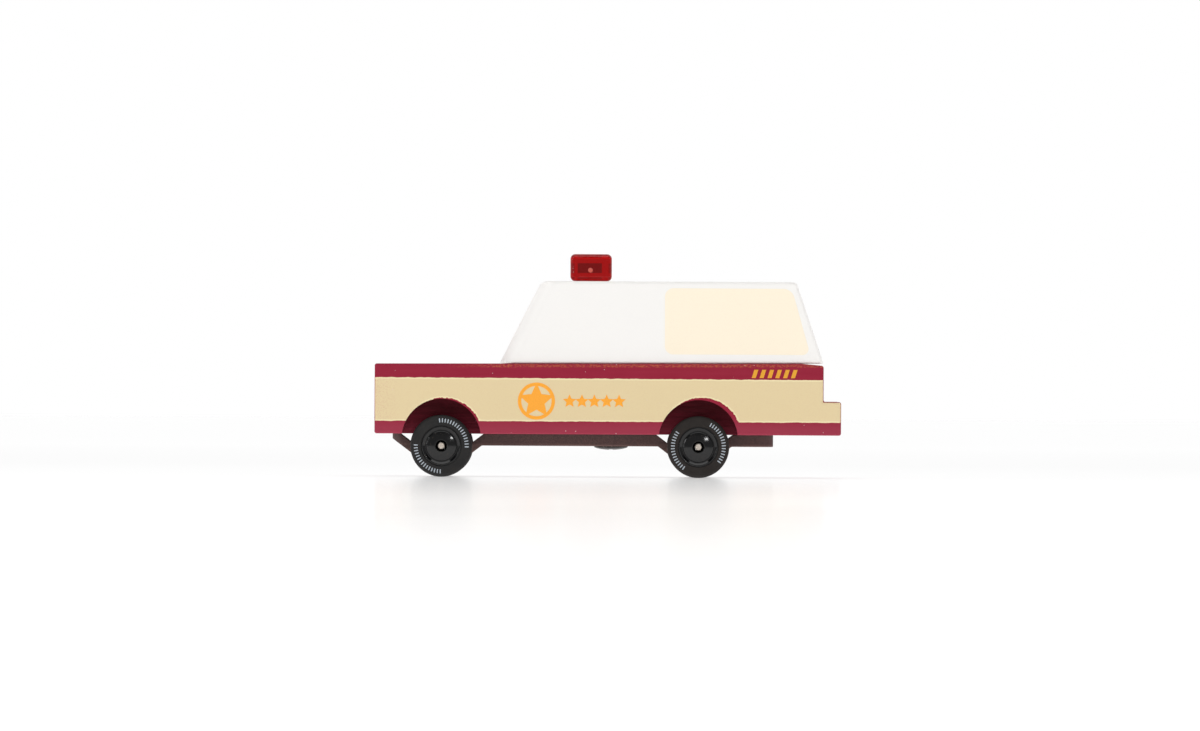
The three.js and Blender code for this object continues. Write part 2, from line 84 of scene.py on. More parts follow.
# Studio
# A sheet of white semi-gloss board, lit through from below, lies in a white tent that is open above
# the camera. A soft box stands at the left, a broad panel hangs overhead, and a small lamp at the
# upper right gives glints.
class Value:
    """A number in a node tree, so that shader maths is written as plain expressions."""

    def __init__(self, nodes, socket):
        self.nodes = nodes
        self.socket = socket

    def maths(self, operation, first, second=0.0, clamp=False):
        settings = {"operation": operation, "use_clamp": clamp}
        return self.nodes.node("ShaderNodeMath", settings, {0: first, 1: second})

    def __add__(self, other):
        return self.maths("ADD", self, other)

    def __sub__(self, other):
        return self.maths("SUBTRACT", self, other)

    def __rsub__(self, other):
        return self.maths("SUBTRACT", other, self)

    def __mul__(self, other):
        return self.maths("MULTIPLY", self, other)

    def __truediv__(self, other):
        return self.maths("DIVIDE", self, other)

    def __pow__(self, other):
        return self.maths("POWER", self, other)

    def __abs__(self):
        return self.maths("ABSOLUTE", self)

    __radd__ = __add__
    __rmul__ = __mul__

    def at_least(self, other):
        return self.maths("MAXIMUM", self, other)

    def at_most(self, other):
        return self.maths("MINIMUM", self, other)

    def above(self, edge, blur):
        """0 below an edge and 1 above it, over a soft width."""
        return self.maths("ADD", (self - edge) / blur, 0.5, clamp=True)

    def below(self, edge, blur):
        """1 below an edge and 0 above it, over a soft width."""
        return 1 - self.above(edge, blur)


class Nodes:
    """A node tree that grows by plain calls."""

    def __init__(self, tree):
        self.tree = tree

    def fill(self, socket, value):
        if isinstance(value, Value):
            self.tree.links.new(value.socket, socket)
        else:
            socket.default_value = value

    def node(self, kind, settings=None, sockets=None, output=0):
        """Adds a node with its settings, then fills its sockets, and gives one of its outputs."""
        node = self.tree.nodes.new(kind)
        for key, value in (settings or {}).items():
            setattr(node, key, value)
        for key, value in (sockets or {}).items():
            self.fill(node.inputs[key], value)
        return Value(self, node.outputs[output])

    def split(self, vector):
        first = self.node("ShaderNodeSeparateXYZ", sockets={0: vector})
        return [Value(self, socket) for socket in first.socket.node.outputs]


class Finish(Nodes):
    """A material on Object coordinates in millimetres. What is the same all over goes on its sockets."""

    def __init__(self, name, sockets):
        self.material = bpy.data.materials.new(name)
        self.material.use_nodes = True
        super().__init__(self.material.node_tree)
        self.surface = self.tree.nodes["Principled BSDF"]
        for key, value in sockets.items():
            self.surface.inputs[key].default_value = value
        metres = self.node("ShaderNodeTexCoord", output="Object")
        scale = {0: metres, "Scale": 1 / MM}
        self.place = self.node("ShaderNodeVectorMath", {"operation": "SCALE"}, scale)

    def put(self, **sockets):
        """Links what changes over the surface: base_color, roughness and so on."""
        for key, value in sockets.items():
            self.fill(self.surface.inputs[key.replace("_", " ").title()], value)

    def noise(self, size, stretch=(1, 1, 1), detail=2.0, start=(0, 0, 0)):
        """Soft noise about 0.5, with features of a size in millimetres, drawn out along some axes."""
        scale = [1 / (size * axis) for axis in stretch]
        mapping = {"Vector": self.place, "Scale": scale, "Location": start}
        mapped = self.node("ShaderNodeMapping", sockets=mapping)
        return self.node("ShaderNodeTexNoise", sockets={"Vector": mapped, "Scale": 1.0, "Detail": detail})

    def mix(self, mask, first, second):
        return self.node("ShaderNodeMix", {"data_type": "RGBA"}, {0: mask, 6: first, 7: second}, output=2)

    def bump(self, height, depth):
        """Raises the surface by a height that runs from 0 to 1, over a depth in millimetres."""
        sockets = {"Height": height, "Distance": depth * MM, "Strength": 1.0}
        self.put(normal=self.node("ShaderNodeBump", sockets=sockets))


def colour(red, green, blue):
    """A colour on the usual scale of 0 to 255, as the linear light that a shader takes."""
    return [*Color((red / 255, green / 255, blue / 255)).from_srgb_to_scene_linear(), 1.0]


WHITE = (1.0, 1.0, 1.0, 1.0)
TENT_FRONT = 0.42
TENT_FRONT_EDGE = (0.1, 0.6)
TENT_OPENING = 0.06
TENT_OPENING_EDGE = (0.42, 0.2)
BOARD_RADIUS = 4.0
BOARD_CORNERS = 96
BOARD_GREY = colour(195, 195, 195)
BOARD_GLOW = (0.88, 0.88, 0.88, 1.0)
BOARD_GLOW_EDGE = (900, 900)
BOARD_ROUGHNESS = 0.09
BOARD_MOTTLE = 0.02
BOARD_MOTTLE_SIZE = 40
BOARD_SHEEN = 0.9
SHEEN_POWER = 64
SHEEN_LIMIT = 0.66
TRUCK_MIDDLE = (cad_low + cad_high) / 2

world = bpy.data.worlds.new("white_tent")
bpy.context.scene.world = world
world.use_nodes = True
tent = Nodes(world.node_tree)
direction = tent.node("ShaderNodeTexCoord", output="Generated")
away, up = tent.split(direction)[1:]
front = (0 - away).above(*TENT_FRONT_EDGE)
opening = front * up.above(*TENT_OPENING_EDGE)
brightness = 1 - front * (1 - TENT_FRONT) - opening * (TENT_FRONT - TENT_OPENING)
seen = tent.node("ShaderNodeLightPath", output="Is Camera Ray")
background = world.node_tree.nodes["Background"]
tent.fill(background.inputs["Color"], WHITE)
tent.fill(background.inputs["Strength"], brightness.at_least(seen))

bpy.ops.object.select_all(action="DESELECT")
bpy.ops.mesh.primitive_circle_add(vertices=BOARD_CORNERS, radius=BOARD_RADIUS, fill_type="NGON")
board = bpy.context.object
board.name = "white_board"
white_board = Finish("white_board", {
    "Base Color": BOARD_GREY,
    "Specular IOR Level": 0.0,
    "Emission Strength": 1.0,
})
board_x, board_y = white_board.split(white_board.place)[:2]
far = ((board_x ** 2 + board_y ** 2) ** 0.5).above(*BOARD_GLOW_EDGE)
white_board.put(emission_color=white_board.mix(far, BOARD_GLOW, WHITE))
board_roughness = BOARD_ROUGHNESS + white_board.noise(BOARD_MOTTLE_SIZE) * BOARD_MOTTLE
sheen = white_board.node("ShaderNodeBsdfGlossy", sockets={"Roughness": board_roughness})
facing = white_board.node("ShaderNodeLayerWeight", output="Facing")
grazing = (facing ** SHEEN_POWER).at_most(SHEEN_LIMIT)
board_output = white_board.tree.nodes["Material Output"]
board_surface = Value(white_board, white_board.surface.outputs["BSDF"])
white_board.fill(board_output.inputs["Surface"], white_board.node(
    "ShaderNodeMixShader", sockets={0: grazing * BOARD_SHEEN, 1: board_surface, 2: sheen}
))
board.data.materials.append(white_board.material)


def lamp(name, place, width, height, watts):
    """A soft rectangular lamp that faces the middle of the truck."""
    place = Vector(place)
    aim = (TRUCK_MIDDLE - place).to_track_quat("-Z", "Y").to_euler()
    bpy.ops.object.light_add(type="AREA", location=place, rotation=aim)
    light = bpy.context.object
    light.name = name
    light.data.shape = "RECTANGLE"
    light.data.size = width
    light.data.size_y = height
    light.data.energy = watts


lamp("left_soft_box", place=(-0.80, -0.62, 0.25), width=0.06, height=0.50, watts=1.5)
lamp("overhead_panel", place=(0.0, -0.45, 1.0), width=1.2, height=0.6, watts=4.7)
lamp("glint_lamp", place=(0.215, -0.72, 0.20), width=0.06, height=0.05, watts=0.3)


# Lower body
# One sawn block of beech with a bumper step at the tail and four blind wheel wells, sanded and sprayed
# burgundy. Its top rises a little to the tail and is sanded down there, and its top edge is rubbed.
# A cream band is screen printed on each side, a little off the wells.
TINY = 0.01 * MM
BODY_EDGE = 0.45 * MM
BODY_SHARP = math.radians(30)
BUMPER_LENGTH = 3.7 * MM
BUMPER_HEIGHT = 7.05 * MM
TOP_RISE = 0.4 * MM
SANDING_LENGTH = 4.6 * MM
SANDING_DROP = 0.45 * MM
WELL_RADIUS = 8.3 * MM
WELL_HEIGHT = 8.1 * MM
WELL_BACK = 12.1 * MM
WELL_RIM = 0.14 * MM
WELL_FACETS = 160
SMOOTH_BELOW = math.radians(40)
BURGUNDY = colour(140, 26, 50)
BURGUNDY_LIGHT = colour(146, 33, 56)
BURGUNDY_FLOOR_BOUNCE = colour(153, 56, 75)
BURGUNDY_WELL_SHADOW = colour(86, 6, 22)
CREAM = colour(221, 202, 160)
CREAM_THIN = colour(214, 186, 150)
CREAM_EDGE = colour(240, 229, 186)
BARE_WOOD = colour(190, 108, 62)
DUST = colour(225, 205, 205)


def select(kind, test):
    """In edit mode, selects only the faces, edges or corners whose middle point passes a test."""
    bpy.ops.mesh.select_mode(type=kind)
    bpy.ops.mesh.select_all(action="DESELECT")
    mesh = bpy.context.edit_object.data
    shape = bmesh.from_edit_mesh(mesh)
    items = {"VERT": shape.verts, "EDGE": shape.edges, "FACE": shape.faces}[kind]
    for item in items:
        points = [item] if kind == "VERT" else item.verts
        middle = sum((point.co for point in points), Vector()) / len(points)
        if test(middle):
            item.select_set(True)
    bmesh.update_edit_mesh(mesh)


def pick(piece):
    """Selects one piece by itself and makes it the active one."""
    bpy.ops.object.select_all(action="DESELECT")
    piece.select_set(True)
    bpy.context.view_layer.objects.active = piece


def edit(piece):
    """Takes a piece into edit mode with all of it selected."""
    pick(piece)
    bpy.ops.object.mode_set(mode="EDIT")
    bpy.ops.mesh.select_all(action="SELECT")


def end_edit():
    bpy.ops.object.mode_set(mode="OBJECT")


def settle(name):
    """Names the piece just added and puts its place into its mesh."""
    piece = bpy.context.object
    piece.name = name
    piece.data.name = name
    bpy.ops.object.transform_apply()
    return piece


def block(name, low, high):
    """A plain block between two corners, as the start of a piece."""
    bpy.ops.object.select_all(action="DESELECT")
    bpy.ops.mesh.primitive_cube_add(size=1, location=(low + high) / 2, scale=high - low)
    return settle(name)


def rod(name, centre, radius, length, turn=(0, 0, 0), facets=96):
    """A plain round rod about its centre, upright unless it is turned."""
    bpy.ops.object.select_all(action="DESELECT")
    bpy.ops.mesh.primitive_cylinder_add(
        vertices=facets, radius=radius, depth=length, location=centre, rotation=turn
    )
    return settle(name)


def apply_modifier(piece, kind, **settings):
    bpy.context.view_layer.objects.active = piece
    modifier = piece.modifiers.new(kind.lower(), kind)
    for key, value in settings.items():
        setattr(modifier, key, value)
    bpy.ops.object.modifier_apply(modifier=modifier.name)


def combine(piece, tool, operation):
    """Cuts a tool piece out of a piece, or joins it on, and takes the tool away."""
    apply_modifier(piece, "BOOLEAN", object=tool, operation=operation, solver="EXACT")
    bpy.data.objects.remove(tool)


def shade(piece):
    """Smooth round surfaces and crisp flat ones."""
    pick(piece)
    bpy.ops.object.shade_smooth_by_angle(angle=SMOOTH_BELOW)
    apply_modifier(piece, "WEIGHTED_NORMAL", keep_sharp=True)


def fit(piece, finish, slot, body, *nodes):
    """Gives a finished piece its material and its place on the truck."""
    piece.data.materials.clear()
    piece.data.materials.append(finish.material)
    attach(piece, body)
    if nodes:
        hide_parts(*nodes)


ACROSS = (math.pi / 2, 0, 0)
body_low, body_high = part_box("lower_body")
body_rear = body_high.x - BUMPER_LENGTH
step_top = body_low.z + BUMPER_HEIGHT
top_slope = TOP_RISE / (body_rear - body_low.x)
axle_places = [sum(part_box(node), Vector()) / 2 for node in ("front_axle", "rear_axle")]

body = block("body_block", body_low, Vector((body_rear, body_high.y, body_high.z)))
edit(body)
select("VERT", lambda spot: spot.x > body_rear - TINY and spot.z > body_high.z - TINY)
bpy.ops.transform.translate(value=(0, 0, TOP_RISE))
bpy.ops.mesh.select_all(action="SELECT")
bpy.ops.mesh.bisect(plane_co=(0, 0, step_top), plane_no=(0, 0, 1))
select("FACE", lambda spot: spot.x > body_rear - TINY and spot.z < step_top + TINY)
bpy.ops.mesh.extrude_region_move(TRANSFORM_OT_translate={"value": (BUMPER_LENGTH, 0, 0)})
bpy.ops.mesh.select_all(action="SELECT")
bpy.ops.mesh.bisect(plane_co=(body_rear - SANDING_LENGTH, 0, 0), plane_no=(1, 0, 0))
select("EDGE", lambda spot: spot.x > body_rear - TINY and spot.z > body_high.z - TINY)
bpy.ops.transform.translate(value=(0, 0, -SANDING_DROP))
end_edit()
apply_modifier(body, "BEVEL", width=BODY_EDGE, segments=5, limit_method="ANGLE", angle_limit=BODY_SHARP)
for axle in axle_places:
    for side in (-1, 1):
        length = body_high.y + BODY_EDGE - WELL_BACK
        centre = Vector((axle.x, side * (WELL_BACK + length / 2), WELL_HEIGHT))
        combine(body, rod("well", centre, WELL_RADIUS, length, ACROSS, WELL_FACETS), "DIFFERENCE")


def on_well_rim(spot):
    on_side = abs(abs(spot.y) - body_high.y) < TINY
    return on_side and any(
        abs(math.hypot(spot.x - axle.x, spot.z - WELL_HEIGHT) - WELL_RADIUS) < TINY for axle in axle_places
    )


edit(body)
select("EDGE", on_well_rim)
bpy.ops.mesh.bevel(offset=WELL_RIM, segments=3, affect="EDGES")
end_edit()
shade(body)

# Where the cream band, the painted shade in the wells and the rubbed edge lie, in millimetres
BAND_BOTTOM = 11.75
BAND_TOP = 20.76
BAND_TOP_FALL = 0.002
BAND_RAGGED = 0.35
BAND_BLUR = 0.08
BAND_EDGE = 0.3
ARCH_RAGGED = 0.7
PRINT_ARCHES = [(-34.5, 8.35, 8.25), (19.75, 8.55, 8.35)]
PRINT_FLAT = 18.85
WELL_MARGIN = 0.1
WELL_REACH = WELL_RADIUS / MM + WELL_MARGIN
WELL_MOUTH = 18.6
WELL_SHADOW_ABOVE = (12.0, 5.0)
WELL_LIT_AHEAD = (-4.0, 7.0)
NOSE_PRINT_END = -46.0
RUBBED_BAND = (22.95, 23.6)
RUBBED_FRONT = -28.0


def body_paint():
    paint = Finish("painted_body", {"Specular IOR Level": 0.15})
    x, y, z = paint.split(paint.place)
    grain = paint.noise(size=0.9, stretch=(9, 1, 1), detail=4)
    mottle = paint.noise(size=0.22, detail=3)
    ragged = (paint.noise(size=1.6, detail=4, start=(3, 0, 0)) - 0.5) * BAND_RAGGED
    rough = (paint.noise(size=0.7, detail=4, start=(5, 0, 0)) - 0.5) * ARCH_RAGGED
    # Distance inside the printed band, from its nearest edge
    inside = (z - BAND_BOTTOM - ragged).at_most(BAND_TOP - x * BAND_TOP_FALL - z - ragged)
    for arch_x, arch_z, radius in PRINT_ARCHES:
        away = ((x - arch_x) ** 2 + (z - arch_z) ** 2) ** 0.5
        inside = inside.at_most(away - radius - rough)
    side = abs(y).above(PRINT_FLAT, 0.06)
    band = inside.above(0, BAND_BLUR) * side
    thin = x.below(NOSE_PRINT_END, 5.0) * mottle.above(0.56, 0.1)
    low, high = RUBBED_BAND
    below_top = z - (x - body_low.x / MM) * top_slope
    edge_wear_and_highlight = below_top.above(low, 0.3) * below_top.below(high, 0.12) * x.above(RUBBED_FRONT, 12.0)
    edge_wear_and_highlight = edge_wear_and_highlight * paint.noise(size=0.24, stretch=(2, 1, 1), detail=5, start=(7, 3, 1)).above(0.53, 0.16)
    speck = paint.noise(size=0.5, detail=0, start=(1, 5, 2)).above(0.85, 0.02)
    burgundy = paint.mix(grain.above(0.5, 0.5), BURGUNDY, BURGUNDY_LIGHT)
    # Painted light: the burgundy grows lighter towards the bottom, a painted bounce of light from the white
    # floor.
    burgundy = paint.mix(z.below(BAND_BOTTOM, 3.0) * 0.7, burgundy, BURGUNDY_FLOOR_BOUNCE)
    burgundy = paint.mix(edge_wear_and_highlight * 0.6, burgundy, BARE_WOOD)
    front_x, rear_x = [axle.x / MM for axle in axle_places]
    from_axle = x - front_x - x.above((front_x + rear_x) / 2, 0.1) * (rear_x - front_x)
    from_centre = (from_axle ** 2 + (z - WELL_HEIGHT / MM) ** 2) ** 0.5
    in_well = abs(y).below(WELL_MOUTH, 0.5) * from_centre.below(WELL_REACH, 0.05)
    saw_marks = paint.noise(size=0.5, stretch=(12, 1, 1), detail=4, start=(2, 2, 2)).above(0.5, 0.3)
    # Painted shade in the wells: darker overall and towards the top, lighter ahead of each axle, streaked
    # by saw marks.
    painted_well_shadow = 0.42 + z.above(*WELL_SHADOW_ABOVE) * 0.45 + saw_marks * 0.25
    painted_well_shadow = painted_well_shadow - from_axle.below(*WELL_LIT_AHEAD) * 0.25
    burgundy = paint.mix(in_well * painted_well_shadow, burgundy, BURGUNDY_WELL_SHADOW)
    cream = paint.mix(thin, CREAM, CREAM_THIN)
    cream = paint.mix(mottle.above(0.6, 0.25) * 0.25, cream, CREAM_THIN)
    cream = paint.mix(inside.below(BAND_EDGE, 0.2) * 0.6, cream, CREAM_EDGE)
    painted = paint.mix(band, burgundy, cream)
    painted = paint.mix(speck * (0.2 + side * 0.5), painted, DUST)
    paint.put(base_color=painted, roughness=0.5 + mottle * 0.12 - band * 0.04)
    paint.bump(grain * 0.6 + mottle * 0.25 + band * 0.35 + in_well * saw_marks * 2.0, depth=0.02)
    return paint


fit(body, body_paint(), "burgundy_paint", "truck_body", "lower_body")


# Side prints
# A five-pointed star in a ring, a row of small stars behind it, and slanted flashes near the tail.
# They are flat screen-printed ink, orange on the cream band and gold on the burgundy above it.
INK = 0.02 * MM
BADGE_PLACE = (-15.0 * MM, 16.0 * MM)
BADGE_RADIUS = 3.9 * MM
BADGE_RING = 0.72 * MM
RING_CORNERS = 96
STAR_POINTS = 5
STAR_WAIST = 0.47
STAR_REACH = 3.85 * MM
ROW_START = -8.05 * MM
ROW_STEP = 2.6 * MM
ROW_STAR = 1.45 * MM
ROW_COUNT = 5
FLASH_START = 30.6 * MM
FLASH_STEP = 1.65 * MM
FLASH_COUNT = 6
FLASH_SIZE = (0.85 * MM, 1.75 * MM)
FLASH_LEAN = 0.55 * MM
FLASH_HEIGHT = 21.95 * MM
ORANGE_INK = colour(247, 165, 48)
GOLD_INK = colour(224, 158, 38)


def flat_disc(name, x, z, radius, corners):
    """A flat many-sided face on the truck's left side."""
    bpy.ops.object.select_all(action="DESELECT")
    bpy.ops.mesh.primitive_circle_add(
        vertices=corners, radius=radius, fill_type="NGON", location=(x, body_low.y, z), rotation=ACROSS
    )
    return settle(name)


def star(name, x, z, radius):
    """A five-pointed star with one point up, on the truck's left side."""
    piece = flat_disc(name, x, z, radius, 2 * STAR_POINTS)
    half_point = math.pi / STAR_POINTS
    edit(piece)
    select("VERT", lambda spot: round(math.atan2(spot.x - x, spot.z - z) / half_point) % 2 == 1)
    bpy.ops.transform.resize(value=(STAR_WAIST,) * 3, center_override=(x, body_low.y, z))
    end_edit()
    return piece


def ring(name, x, z, radius, width):
    """A flat ring on the truck's left side."""
    piece = flat_disc(name, x, z, radius, RING_CORNERS)
    edit(piece)
    bpy.ops.mesh.inset(thickness=width)
    bpy.ops.mesh.delete(type="FACE")
    end_edit()
    return piece


def panel(name, middle, size, turn):
    """A flat rectangle, as the start of a print."""
    bpy.ops.object.select_all(action="DESELECT")
    bpy.ops.mesh.primitive_plane_add(size=1, location=middle, rotation=turn)
    bpy.context.object.scale = (*size, 1)
    return settle(name)


def flash(name, x, z, size, lean):
    """A slanted bar on the truck's left side."""
    piece = panel(name, (x, body_low.y, z), size, ACROSS)
    edit(piece)
    select("VERT", lambda spot: spot.z > z)
    bpy.ops.transform.translate(value=(lean, 0, 0))
    end_edit()
    return piece


def join(name, pieces):
    """Makes one piece of several, under a new name."""
    bpy.ops.object.select_all(action="DESELECT")
    for piece in pieces:
        piece.select_set(True)
    bpy.context.view_layer.objects.active = pieces[0]
    bpy.ops.object.join()
    pieces[0].name = name
    return pieces[0]


def copy_of(piece, name, place=(0, 0, 0), turn=(0, 0, 0)):
    """A copy with its own mesh, turned about the origin and moved, with its place in its mesh."""
    pick(piece)
    bpy.ops.object.duplicate()
    copy = bpy.context.object
    copy.location = place
    copy.rotation_euler = turn
    return settle(name)


def thicken(piece):
    """Gives a flat print the thickness of its ink."""
    apply_modifier(piece, "SOLIDIFY", thickness=INK, offset=1)


def on_both_sides(piece, x, finish, slot):
    """Prints a left-side piece on the right side too, turned half round about the upright line at x."""
    far = copy_of(piece, piece.name.replace("left", "right"), (2 * x, 0, 0), (0, 0, math.pi))
    for side in (piece, far):
        fit(side, finish, slot, "truck_body")


def ink(name, shade_of_ink, thinning=0.92):
    """Flat ink that shows the tooth of the paint under it, and is a little darker where it is thin."""
    finish = Finish(name, {"Specular IOR Level": 0.35})
    tooth = finish.noise(size=0.25, detail=3)
    thin = [channel * thinning for channel in shade_of_ink[:3]] + [1.0]
    finish.put(
        base_color=finish.mix(tooth.above(0.6, 0.4), shade_of_ink, thin),
        roughness=0.45 + tooth * 0.15,
    )
    finish.bump(tooth, depth=0.006)
    return finish


orange_ink = ink("orange_ink", ORANGE_INK)
gold_ink = ink("gold_ink", GOLD_INK)
badge_x, badge_z = BADGE_PLACE
badge = ring("left_star_badge", badge_x, badge_z, BADGE_RADIUS, BADGE_RING)
badge_star = star("left_badge_star", badge_x, badge_z, STAR_REACH)
for figure in (badge, badge_star):
    thicken(figure)
combine(badge, badge_star, "UNION")
on_both_sides(badge, badge_x, orange_ink, "burgundy_paint")
row_middle = ROW_START + ROW_STEP * (ROW_COUNT - 1) / 2
stars = join("left_star_row", [
    star("left_row_star", ROW_START + ROW_STEP * i, badge_z, ROW_STAR) for i in range(ROW_COUNT)
])
thicken(stars)
on_both_sides(stars, row_middle, orange_ink, "burgundy_paint")
flash_middle = FLASH_START + FLASH_STEP * (FLASH_COUNT - 1) / 2
flashes = join("left_flashes", [
    flash("left_flash", FLASH_START + FLASH_STEP * i, FLASH_HEIGHT, FLASH_SIZE, FLASH_LEAN)
    for i in range(FLASH_COUNT)
])
thicken(flashes)
on_both_sides(flashes, flash_middle, gold_ink, "burgundy_paint")


# Dowels
# Two plain beech dowels, glued half into the body and half into the cabin, keep the two blocks in line.
# They stay the CAD pieces, because the blocks hide them.
BEECH = colour(205, 165, 112)
BEECH_DARK = colour(178, 132, 82)


def beech():
    wood = Finish("beech", {"Specular IOR Level": 0.3})
    fibre = wood.noise(size=0.35, stretch=(1, 1, 12), detail=4)
    wood.put(base_color=wood.mix(fibre.above(0.5, 0.35), BEECH, BEECH_DARK), roughness=0.6 + fibre * 0.2)
    wood.bump(fibre, depth=0.03)
    return wood


beech_wood = beech()
for name in ("cabin_dowel_front", "cabin_dowel_rear"):
    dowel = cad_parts[name]
    dowel.data.materials.clear()
    dowel.data.materials.append(beech_wood.material)


# Cabin
# A second block, sawn with a raked windscreen end and tail end, rounded at its pillars and sprayed white.
# Its foot follows the body's rising top. Cream window panels are screen printed on it, one behind the
# middle of each side and one at each end.
WINDSCREEN_RAKE = math.radians(26.6)
TAIL_RAKE = math.radians(18.3)
PILLAR_EDGE = 3.3 * MM
ROOF_FRONT_EDGE = 1.3 * MM
CABIN_EDGE = 0.7 * MM
CABIN_FOOT_EDGE = 0.5 * MM
CABIN_WHITE = colour(241, 239, 236)
CABIN_SHADE = colour(236, 234, 231)

cabin_low, cabin_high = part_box("cabin")
cabin_height = cabin_high.z - cabin_low.z
cabin_middle = (cabin_low + cabin_high) / 2
front_run = cabin_height * math.tan(WINDSCREEN_RAKE)
tail_run = cabin_height * math.tan(TAIL_RAKE)
front_rise = (cabin_low.x - body_low.x) * top_slope
tail_rise = (cabin_high.x - body_low.x) * top_slope

cabin = block("cabin_block", cabin_low, cabin_high)
edit(cabin)
select("VERT", lambda spot: spot.x < cabin_middle.x and spot.z > cabin_middle.z)
bpy.ops.transform.translate(value=(front_run, 0, 0))
select("VERT", lambda spot: spot.x > cabin_middle.x and spot.z > cabin_middle.z)
bpy.ops.transform.translate(value=(-tail_run, 0, 0))
for foot_x, rise in ((cabin_low.x, front_rise), (cabin_high.x, tail_rise)):
    select("VERT", lambda spot: spot.z < cabin_middle.z and abs(spot.x - foot_x) < TINY)
    bpy.ops.transform.translate(value=(0, 0, rise))


def round_edges(width, test):
    """Gives the edges that pass a test their share of the widest rounding."""
    select("EDGE", test)
    bpy.ops.transform.edge_bevelweight(value=width / PILLAR_EDGE)


def is_upright(spot):
    return abs(spot.z - cabin_middle.z) < cabin_height / 4


def is_roof_front(spot):
    return spot.z > cabin_high.z - TINY and spot.x < cabin_low.x + front_run + TINY


round_edges(PILLAR_EDGE, lambda spot: is_upright(spot) and spot.x < cabin_middle.x)
round_edges(CABIN_EDGE, lambda spot: is_upright(spot) and spot.x > cabin_middle.x)
round_edges(ROOF_FRONT_EDGE, is_roof_front)
round_edges(CABIN_EDGE, lambda spot: spot.z > cabin_high.z - TINY and not is_roof_front(spot))
round_edges(CABIN_FOOT_EDGE, lambda spot: spot.z < cabin_low.z + TOP_RISE + TINY)
end_edit()
apply_modifier(cabin, "BEVEL", width=PILLAR_EDGE, segments=8, limit_method="WEIGHT")
shade(cabin)


def cabin_paint():
    paint = Finish("painted_cabin", {"Specular IOR Level": 0.5})
    peel = paint.noise(size=0.35, detail=2)
    wave = paint.noise(size=6, detail=2)
    paint.put(
        base_color=paint.mix(peel * 0.5 + wave * 0.4, CABIN_WHITE, CABIN_SHADE),
        roughness=0.34 + peel * 0.12,
    )
    paint.bump(peel, depth=0.012)
    return paint


fit(cabin, cabin_paint(), "white_paint", "truck_body", "cabin")

# Window prints, as flat cream ink with round corners
WINDOW_LEFT = 11.9 * MM
WINDOW_RIGHT = 42.5 * MM
WINDOW_BOTTOM = 25.95 * MM
WINDOW_TOP = 39.85 * MM
WINDOW_RAKE = 3.95 * MM
WINDOW_CORNER = 1.75 * MM
WINDSCREEN_SIZE = (12.5 * MM, 27.0 * MM)
TAIL_WINDOW_SIZE = (11.5 * MM, 28.0 * MM)
WINDOW_CREAM = colour(247, 235, 213)


def round_corners(piece, radius):
    edit(piece)
    bpy.ops.mesh.bevel(offset=radius, segments=8, affect="VERTICES")
    end_edit()


window_x = (WINDOW_LEFT + WINDOW_RIGHT) / 2
window_z = (WINDOW_BOTTOM + WINDOW_TOP) / 2
side_window = panel(
    "left_window_print",
    (window_x, cabin_low.y, window_z),
    (WINDOW_RIGHT - WINDOW_LEFT, WINDOW_TOP - WINDOW_BOTTOM),
    ACROSS,
)
edit(side_window)
select("VERT", lambda spot: spot.x > window_x and spot.z > window_z)
bpy.ops.transform.translate(value=(-WINDOW_RAKE, 0, 0))
end_edit()
round_corners(side_window, WINDOW_CORNER)
thicken(side_window)
far_window = copy_of(side_window, "right_window_print")
edit(far_window)
bpy.ops.transform.mirror(constraint_axis=(False, True, False), center_override=(0, 0, 0))
bpy.ops.mesh.normals_make_consistent(inside=False)
end_edit()
windscreen_middle = (cabin_low.x + front_run / 2, 0, cabin_middle.z + front_rise / 2)
windscreen_turn = (0, math.atan2(front_run, cabin_height - front_rise) - math.pi / 2, 0)
windscreen = panel("windscreen_print", windscreen_middle, WINDSCREEN_SIZE, windscreen_turn)
tail_window_middle = (cabin_high.x - tail_run / 2, 0, cabin_middle.z + tail_rise / 2)
tail_window_turn = (0, math.pi / 2 - math.atan2(tail_run, cabin_height - tail_rise), 0)
tail_window = panel("tail_window_print", tail_window_middle, TAIL_WINDOW_SIZE, tail_window_turn)
for print_piece in (windscreen, tail_window):
    round_corners(print_piece, WINDOW_CORNER)
    thicken(print_piece)
window_ink = ink("window_ink", WINDOW_CREAM, thinning=0.97)
for print_piece in (side_window, far_window, windscreen, tail_window):
    fit(print_piece, window_ink, "white_paint", "truck_body")


# Light bar
# A clear red moulded block lies across the roof, held by a peg of its own in a hole in the wood.
# All its edges are rounded, and the moulding gate left a frosted dot on the left end.
LENS_EDGE = 1.05 * MM
LENS_GAP = 0.03 * MM
GATE_ACROSS = -0.15 * MM
GATE_HEIGHT = 2.35 * MM
GATE_RADIUS = 0.5 * MM
GATE_STAND = 0.1 * MM
GATE_ROUNDING = 0.04 * MM
LENS_PAINTED_DARK = ((-6.5, -1.4), (43.05, 45.1))
LENS_PAINTED_DARK_BLUR = 0.1
LENS_END_SKIN = 0.05
LENS_END_BLUR = 0.02
LENS_RED = (0.7, 0.09, 0.13, 1.0)
LENS_PAINTED_DARK_RED = (0.34, 0.09, 0.09, 1.0)
LENS_DEPTH_COLOUR = (0.945, 0.03, 0.03, 1.0)
LENS_DENSITY = 800.0
GATE_PINK = colour(255, 128, 108)
GATE_DARK = colour(222, 84, 72)

lens_low, lens_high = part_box("siren_lens")
lens_low.z = cabin_high.z + LENS_GAP
lens_middle = (lens_low + lens_high) / 2
lens = block("light_bar", lens_low, lens_high)
apply_modifier(lens, "BEVEL", width=LENS_EDGE, segments=8, limit_method="ANGLE")
shade(lens)


